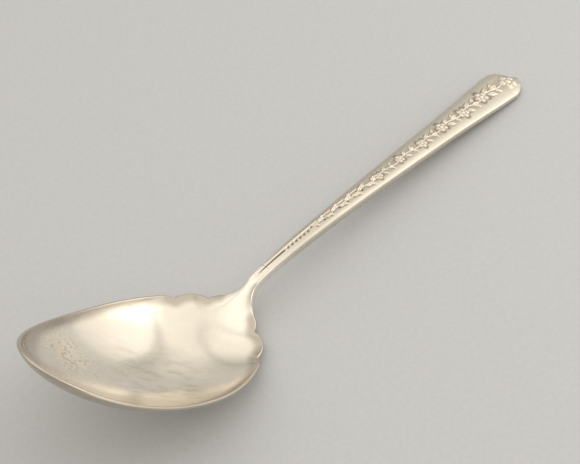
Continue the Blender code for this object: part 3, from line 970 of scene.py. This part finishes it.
def ornament(place, side):
    """Height of the ornament over the plain handle, how dark its recesses are (tarnish and painted shade),
    and how bright its crowns (rubbed plate and a painted highlight).
    """
    groove = groove_cut(place, side)
    ridge = ridge_line(place, side)
    half = vine_half(place)
    field = smooth((half * FIELD_EASE - np.abs(side)) / (FIELD_EDGE * half))
    field = field * smooth((place - SPRIG[0]) / FIELD_FADE)
    raised = motifs(place, side)
    pits = punched(place, side) * np.clip(1 - PIT_CLEARING * raised, 0, 1)
    height = RIDGE_HEIGHT * ridge + RELIEF_HEIGHT * raised - GROUND_DEPTH * field
    height = height - GROOVE_DEPTH * groove - PIT_DEPTH * pits
    # Darker in the groove, the dots, the ring round each motif and the sunk ground: tarnish in the hollows
    # and painted shade
    low = np.clip(1 - LOW_CLEARING * raised, 0, 1)
    outline = np.clip(OUTLINE_SPREAD * motifs(place, side, OUTLINE_GROWTH), 0, 1) * low
    recess = np.max((GROOVE_DARK * smooth(GROOVE_SPREAD * groove), PIT_DARK * pits,
                     OUTLINE_DARK * outline, GROUND_DARK * field * low), axis=0)
    # Lighter on the crowns and along the ridge: rubbed plate and a painted highlight
    relief = np.maximum(smooth(CROWN_SPREAD * raised - CROWN_START), RIDGE_HIGHLIGHT * ridge)
    return height, recess, relief


def skins(rows, finish=lambda sheet: sheet):
    """Upper and lower sheets of a run of rows, the upper one's normals, and the way through the metal.

    In the bowl that way is along the normals. In the handle it has no sideways slant, so the sides stand
    upright.
    """
    sheet, metal, upright, edges = (np.array(values) for values in zip(*rows))
    upper = finish(sheet)
    normals = grid_normals(upper)
    through = normals.copy()
    through[..., 1] *= 1 - upright[:, None]
    through = through / np.linalg.norm(through, axis=-1, keepdims=True)
    lower = upper - through * metal[..., None]
    lower[..., 2] = np.maximum(lower[..., 2], TABLE)
    height = ornament(upper[..., 0], upper[..., 1])[0]
    height[:, (0, -1)] = 0.0
    return upper + through * height[..., None], lower, normals, through, edges


def part_of(sheets, rows):
    """Some of the rows of a run of sheets."""
    return [sheet[rows] for sheet in sheets]


def bowl_loft():
    """Points and faces of the bowl with its tang, and the points of its rim as far as the neck."""
    rows = tip_rows(BOWL_COLUMNS) + heel_rows(BOWL_COLUMNS) + shoulder_rows(BOWL_COLUMNS)
    rows += [blade_row(place, BOWL_COLUMNS) for place in np.linspace(NECK_PLACE, SCARF_END, STEM_ROWS)]
    sheets = skins(rows, lambda sheet: scalloped(sheet, BOWL_COLUMNS, TIP_ROWS + HEEL_ROWS))
    upper = sheets[0]
    share = np.clip(scarf_share(upper) + FILM_SHARE, 0.0, 1.0)
    keep = slice(0, int(np.argmax(share >= 1.0)))
    points, faces = lofted(part_of(sheets, keep), share[keep], np.ones(len(share))[keep], rim_start=True)
    before_neck = slice(0, TIP_ROWS + HEEL_ROWS + sum(SHOULDER_ROWS[:-1]))
    return points, faces, np.concatenate((upper[0], upper[before_neck, 0], upper[before_neck, -1]))


def handle_loft():
    """Points and faces of the handle, from the scarf to its rounded end."""
    places = np.linspace(SCARF_START, NECK_PLACE + BLADE_LENGTH, HANDLE_ROWS, endpoint=False)
    sheets = skins([blade_row(place, HANDLE_COLUMNS) for place in places] + end_rows(HANDLE_COLUMNS))
    share = np.clip(scarf_share(sheets[0]) - FILM_SHARE, 0.0, 1.0)
    keep = slice(int(np.argmax(share > 0.0)), len(share))
    return lofted(part_of(sheets, keep), np.zeros(len(share))[keep], share[keep], rim_end=True)


def film_loft():
    """Points and faces of the solder between the two."""
    spare = FILM_SHARE * SCARF_LENGTH
    places = np.linspace(SCARF_START - spare, SCARF_END + spare, STEM_ROWS)
    sheets = skins([blade_row(place, BOWL_COLUMNS) for place in places])
    share = scarf_share(sheets[0])
    keep = slice(1, -1)
    first, last = (np.clip(share + side, 0, 1)[keep] for side in (-FILM_SHARE, FILM_SHARE))
    return lofted(part_of(sheets, keep), first, last)


bowl_points, bowl_faces, bowl_rim = bowl_loft()
bowl_metal = silver("bowl_plate_skin", True)
bowl_skin = skin_object("bowl_skin", bowl_points, bowl_faces, bowl_metal, "bowl", bowl_rim)

handle_metal = silver("handle_plate_skin", False)
handle_skin = skin_object("handle_skin", *handle_loft(), handle_metal, "handle")

solder_metal = silver("solder_skin_metal", False)
film_skin = skin_object("solder_skin", *film_loft(), solder_metal, "solder_seam")

floor_mesh = bpy.data.meshes.new("floor")
floor_corners = [(x * FLOOR_HALF, y * FLOOR_HALF, 0) for x, y in ((-1, -1), (1, -1), (1, 1), (-1, 1))]
floor_mesh.from_pydata(floor_corners, [], [(0, 1, 2, 3)])
floor_mesh.materials.append(paper("floor_paper"))
floor = bpy.data.objects.new("floor", floor_mesh)
floor.location.z = -FLOOR_DROP
bpy.context.scene.collection.objects.link(floor)


def away_from(tree, toward, place):
    """Angle in radians between the direction looked in and an azimuth and elevation."""
    inputs = {0: toward, 1: direction(*place)}
    facing = add(tree, "ShaderNodeVectorMath", inputs, operation="DOT_PRODUCT").outputs["Value"]
    return sums(tree, "ARCCOSINE", facing, 0.0)


def bar(tree, toward, place, radius):
    """Share of light left by a thin dark bar that runs in a circle round a place."""
    off = sums(tree, "SUBTRACT", away_from(tree, toward, place), radians(radius))
    return ramp(tree, sums(tree, "ABSOLUTE", off, 0.0), 0.0, radians(BAR_WIDTH), 1 - BAR_SHADE, 1.0)


def studio():
    """Surround: a sky brighter upwards, a round window, thin dark bars, soft shades, and a dim back."""
    world = bpy.data.worlds.new("studio")
    world.use_nodes = True
    tree = world.node_tree
    toward = add(tree, "ShaderNodeTexCoord").outputs["Generated"]
    up = axis_of(tree, toward, "Z")
    inner = WINDOW_RADIUS - BAR_WIDTH
    in_window = ramp(tree, away_from(tree, toward, WINDOW), radians(WINDOW_RADIUS), radians(inner))
    window = scaled(tree, in_window, ramp(tree, up, 0.0, WINDOW_TOP, *WINDOW_LIGHT))
    light = sums(tree, "MAXIMUM", window, ramp(tree, up, 0.0, SKY_TOP, *SKY))
    light = scaled(tree, light, bar(tree, toward, WINDOW, WINDOW_RADIUS))
    light = scaled(tree, light, bar(tree, toward, BAR, BAR_RADIUS))
    for azimuth, elevation, outer, inner, shade in SHADES:
        away = away_from(tree, toward, (azimuth, elevation))
        light = scaled(tree, light, ramp(tree, away, radians(outer), radians(inner), 1.0, 1.0 - shade))
    front = ramp(tree, away_from(tree, toward, FRONT), *(radians(angle) for angle in FRONT_ANGLES))
    more = scaled(tree, front, sums(tree, "SUBTRACT", light, BACK_LIGHT))
    background = tree.nodes["Background"]
    background.inputs["Color"].default_value = (*LIGHT_COLOUR, 1.0)
    tree.links.new(sums(tree, "ADD", BACK_LIGHT, more), background.inputs["Strength"])
    return world


def soft_panel(name, azimuth, elevation, far, wide, high, radiance):
    """Lit panel that faces the spoon and fades out at its edges."""
    lamp = bpy.data.lights.new(name, "AREA")
    lamp.shape = "RECTANGLE"
    lamp.size = wide
    lamp.size_y = high
    lamp.energy = radiance * pi * wide * high
    lamp.color = LIGHT_COLOUR
    lamp.use_nodes = True
    tree = lamp.node_tree
    across = add(tree, "ShaderNodeNewGeometry").outputs["Parametric"]
    strength = 1.0
    for axis in "XY":
        share = axis_of(tree, across, axis)
        inwards = sums(tree, "MINIMUM", share, sums(tree, "SUBTRACT", 1.0, share))
        strength = scaled(tree, strength, ramp(tree, inwards, 0.0, PANEL_SOFTNESS))
    tree.links.new(strength, tree.nodes["Emission"].inputs["Strength"])
    panel = bpy.data.objects.new(name, lamp)
    away = direction(azimuth, elevation)
    panel.location = Vector(PANEL_AIM) + far * away
    panel.rotation_euler = away.to_track_quat("Z", "Y").to_euler()
    panel.visible_camera = False
    bpy.context.scene.collection.objects.link(panel)


def photo_camera():
    """Camera at the photograph's viewing angle."""
    camera = bpy.data.objects.new("camera", bpy.data.cameras.new("camera"))
    camera.data.lens = LENS
    camera.data.sensor_width = SENSOR
    back = direction(*CAMERA_PLACE)
    level = Vector((0, 0, 1)).cross(back).normalized()
    upright = back.cross(level)
    right = cos(CAMERA_ROLL) * level + sin(CAMERA_ROLL) * upright
    up = cos(CAMERA_ROLL) * upright - sin(CAMERA_ROLL) * level
    turn = Matrix((right, up, back)).transposed().to_4x4()
    camera.matrix_world = Matrix.Translation(Vector(CAMERA_AIM) + CAMERA_DISTANCE * back) @ turn
    bpy.context.scene.collection.objects.link(camera)
    return camera


bpy.context.scene.world = studio()
bpy.context.scene.view_settings.view_transform = "Standard"
for panel_name, panel_values in PANELS.items():
    soft_panel(panel_name, *panel_values)
bpy.context.scene.camera = photo_camera()

bpy.context.view_layer.update()
